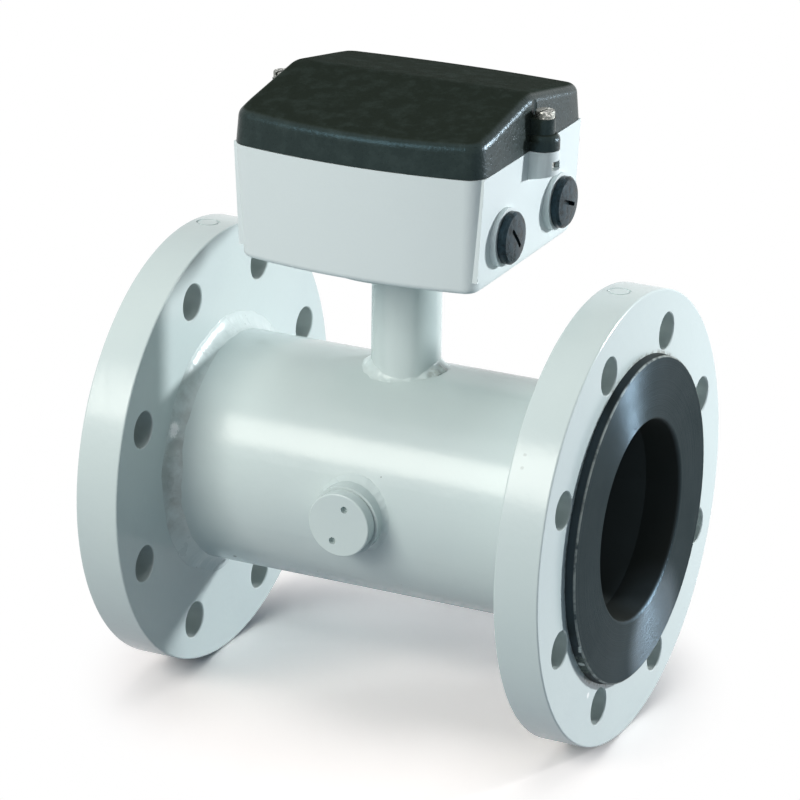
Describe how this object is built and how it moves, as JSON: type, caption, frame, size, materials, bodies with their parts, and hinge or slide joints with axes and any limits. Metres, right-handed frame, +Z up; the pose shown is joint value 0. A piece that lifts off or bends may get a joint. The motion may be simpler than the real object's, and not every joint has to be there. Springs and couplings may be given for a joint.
{
  "type": "magnetic flow meter",
  "caption": "Flanged magnetic flow meter: rubber-lined pipe with screwed electrode caps and, on a neck, a terminal box with blanking plugs and a lift-off lid.",
  "frame": {"origin": "on the pipe axis, half way between the two sealing faces", "axes": "+X along the pipe axis (both ends are alike), +Z up to the terminal box, -Y to the front electrode cap"},
  "size_m": [0.2484, 0.22, 0.3104],
  "materials": {
    "painted_steel": "satin paint, pale grey-green",
    "liner_rubber": "turned hard rubber, dark blue-grey",
    "box_plastic": "pale grey, fine satin",
    "lid_plastic": "black-green, finely mottled",
    "plug_plastic": "dark slate, satin",
    "screw_steel": "bright zinc plated",
    "stainless": "turned stainless",
    "seal_rubber": "matt black",
    "bush_plastic": "white, smooth",
    "coil_winding": "lacquered copper wire",
    "core_iron": "soft iron, dark",
    "board_laminate": "green laminate",
    "block_plastic": "grey",
    "lead_sheath": "black sheath"
  },
  "bodies": {
    "root": {"flange_left": "painted_steel", "flange_right": "painted_steel", "body_tube": "painted_steel", "weld_flange_left": "painted_steel", "weld_flange_right": "painted_steel", "liner": "liner_rubber", "measuring_tube": "stainless", "neck": "painted_steel", "weld_neck": "painted_steel", "neck_plate": "painted_steel", "weld_neck_plate": "painted_steel", "neck_seal": "seal_rubber", "terminal_box": "box_plastic", "lid_nuts": "screw_steel", "terminal_board": "board_laminate", "board_screws": "screw_steel", "terminal_blocks": "block_plastic", "box_screws": "screw_steel", "signal_lead": "lead_sheath", "coil_top": "coil_winding", "coil_bottom": "coil_winding", "pole_top": "core_iron", "pole_bottom": "core_iron", "yoke": "core_iron", "boss_front": "painted_steel", "weld_boss_front": "painted_steel", "electrode_front": "stainless", "electrode_bush_front": "bush_plastic", "electrode_spring_front": "stainless", "electrode_nut_front": "stainless", "boss_rear": "painted_steel", "weld_boss_rear": "painted_steel", "electrode_rear": "stainless", "electrode_bush_rear": "bush_plastic", "electrode_spring_rear": "stainless", "electrode_nut_rear": "stainless"},
    "lid": {"lid": "lid_plastic", "lid_gasket": "seal_rubber"},
    "screw_ring_left": {"screw_ring_left": "stainless"},
    "lid_screw_left": {"lid_screw_left": "screw_steel"},
    "screw_ring_right": {"screw_ring_right": "stainless"},
    "lid_screw_right": {"lid_screw_right": "screw_steel"},
    "plug_seal_left_front": {"plug_seal_left_front": "seal_rubber"},
    "plug_left_front": {"plug_left_front": "plug_plastic"},
    "plug_seal_left_rear": {"plug_seal_left_rear": "seal_rubber"},
    "plug_left_rear": {"plug_left_rear": "plug_plastic"},
    "plug_seal_right_front": {"plug_seal_right_front": "seal_rubber"},
    "plug_right_front": {"plug_right_front": "plug_plastic"},
    "plug_seal_right_rear": {"plug_seal_right_rear": "seal_rubber"},
    "plug_right_rear": {"plug_right_rear": "plug_plastic"},
    "cap_seal_front": {"cap_seal_front": "seal_rubber"},
    "cap_front": {"cap_front": "painted_steel"},
    "cap_seal_rear": {"cap_seal_rear": "seal_rubber"},
    "cap_rear": {"cap_rear": "painted_steel"}
  },
  "joints": [
    {"name": "lid_lift", "type": "slide", "parent": "root", "child": "lid", "axis": [0, 0, 1], "range_m": [0, 0.06]},
    {"name": "lid_screw_rise_left", "type": "slide", "parent": "lid", "child": "screw_ring_left", "axis": [0, 0, 1], "range_m": [0, 0.006]},
    {"name": "lid_screw_turn_left", "type": "hinge", "parent": "screw_ring_left", "child": "lid_screw_left", "pos_m": [-0.068, 0.0025, 0.19], "axis": [0, 0, 1], "range_deg": [0, 2702]},
    {"name": "lid_screw_rise_right", "type": "slide", "parent": "lid", "child": "screw_ring_right", "axis": [0, 0, 1], "range_m": [0, 0.006]},
    {"name": "lid_screw_turn_right", "type": "hinge", "parent": "screw_ring_right", "child": "lid_screw_right", "pos_m": [0.068, 0.0025, 0.19], "axis": [0, 0, 1], "range_deg": [0, 2702]},
    {"name": "plug_out_left_front", "type": "slide", "parent": "root", "child": "plug_seal_left_front", "axis": [-1, 0, 0], "range_m": [0, 0.009]},
    {"name": "plug_turn_left_front", "type": "hinge", "parent": "plug_seal_left_front", "child": "plug_left_front", "pos_m": [-0.0652, -0.03, 0.1404], "axis": [-1, 0, 0], "range_deg": [0, 2162]},
    {"name": "plug_out_left_rear", "type": "slide", "parent": "root", "child": "plug_seal_left_rear", "axis": [-1, 0, 0], "range_m": [0, 0.009]},
    {"name": "plug_turn_left_rear", "type": "hinge", "parent": "plug_seal_left_rear", "child": "plug_left_rear", "pos_m": [-0.0652, 0.03, 0.1404], "axis": [-1, 0, 0], "range_deg": [0, 2162]},
    {"name": "plug_out_right_front", "type": "slide", "parent": "root", "child": "plug_seal_right_front", "axis": [1, 0, 0], "range_m": [0, 0.009]},
    {"name": "plug_turn_right_front", "type": "hinge", "parent": "plug_seal_right_front", "child": "plug_right_front", "pos_m": [0.0652, -0.03, 0.1404], "axis": [1, 0, 0], "range_deg": [0, 2162]},
    {"name": "plug_out_right_rear", "type": "slide", "parent": "root", "child": "plug_seal_right_rear", "axis": [1, 0, 0], "range_m": [0, 0.009]},
    {"name": "plug_turn_right_rear", "type": "hinge", "parent": "plug_seal_right_rear", "child": "plug_right_rear", "pos_m": [0.0652, 0.03, 0.1404], "axis": [1, 0, 0], "range_deg": [0, 2162]},
    {"name": "cap_out_front", "type": "slide", "parent": "root", "child": "cap_seal_front", "axis": [0, -1, 0], "range_m": [0, 0.009]},
    {"name": "cap_turn_front", "type": "hinge", "parent": "cap_seal_front", "child": "cap_front", "pos_m": [0, -0.0645, 0], "axis": [0, -1, 0], "range_deg": [0, 2162]},
    {"name": "cap_out_rear", "type": "slide", "parent": "root", "child": "cap_seal_rear", "axis": [0, 1, 0], "range_m": [0, 0.009]},
    {"name": "cap_turn_rear", "type": "hinge", "parent": "cap_seal_rear", "child": "cap_rear", "pos_m": [0, 0.0645, 0], "axis": [0, 1, 0], "range_deg": [0, 2162]}
  ],
  "couplings": [
    {"joint": "lid_screw_turn_left", "follows": "lid_screw_rise_left", "rad_per_m": 7854},
    {"joint": "lid_screw_turn_right", "follows": "lid_screw_rise_right", "rad_per_m": 7854},
    {"joint": "plug_turn_left_front", "follows": "plug_out_left_front", "rad_per_m": 4188.8},
    {"joint": "plug_turn_left_rear", "follows": "plug_out_left_rear", "rad_per_m": 4188.8},
    {"joint": "plug_turn_right_front", "follows": "plug_out_right_front", "rad_per_m": 4188.8},
    {"joint": "plug_turn_right_rear", "follows": "plug_out_right_rear", "rad_per_m": 4188.8},
    {"joint": "cap_turn_front", "follows": "cap_out_front", "rad_per_m": 4188.8},
    {"joint": "cap_turn_rear", "follows": "cap_out_rear", "rad_per_m": 4188.8}
  ]
}
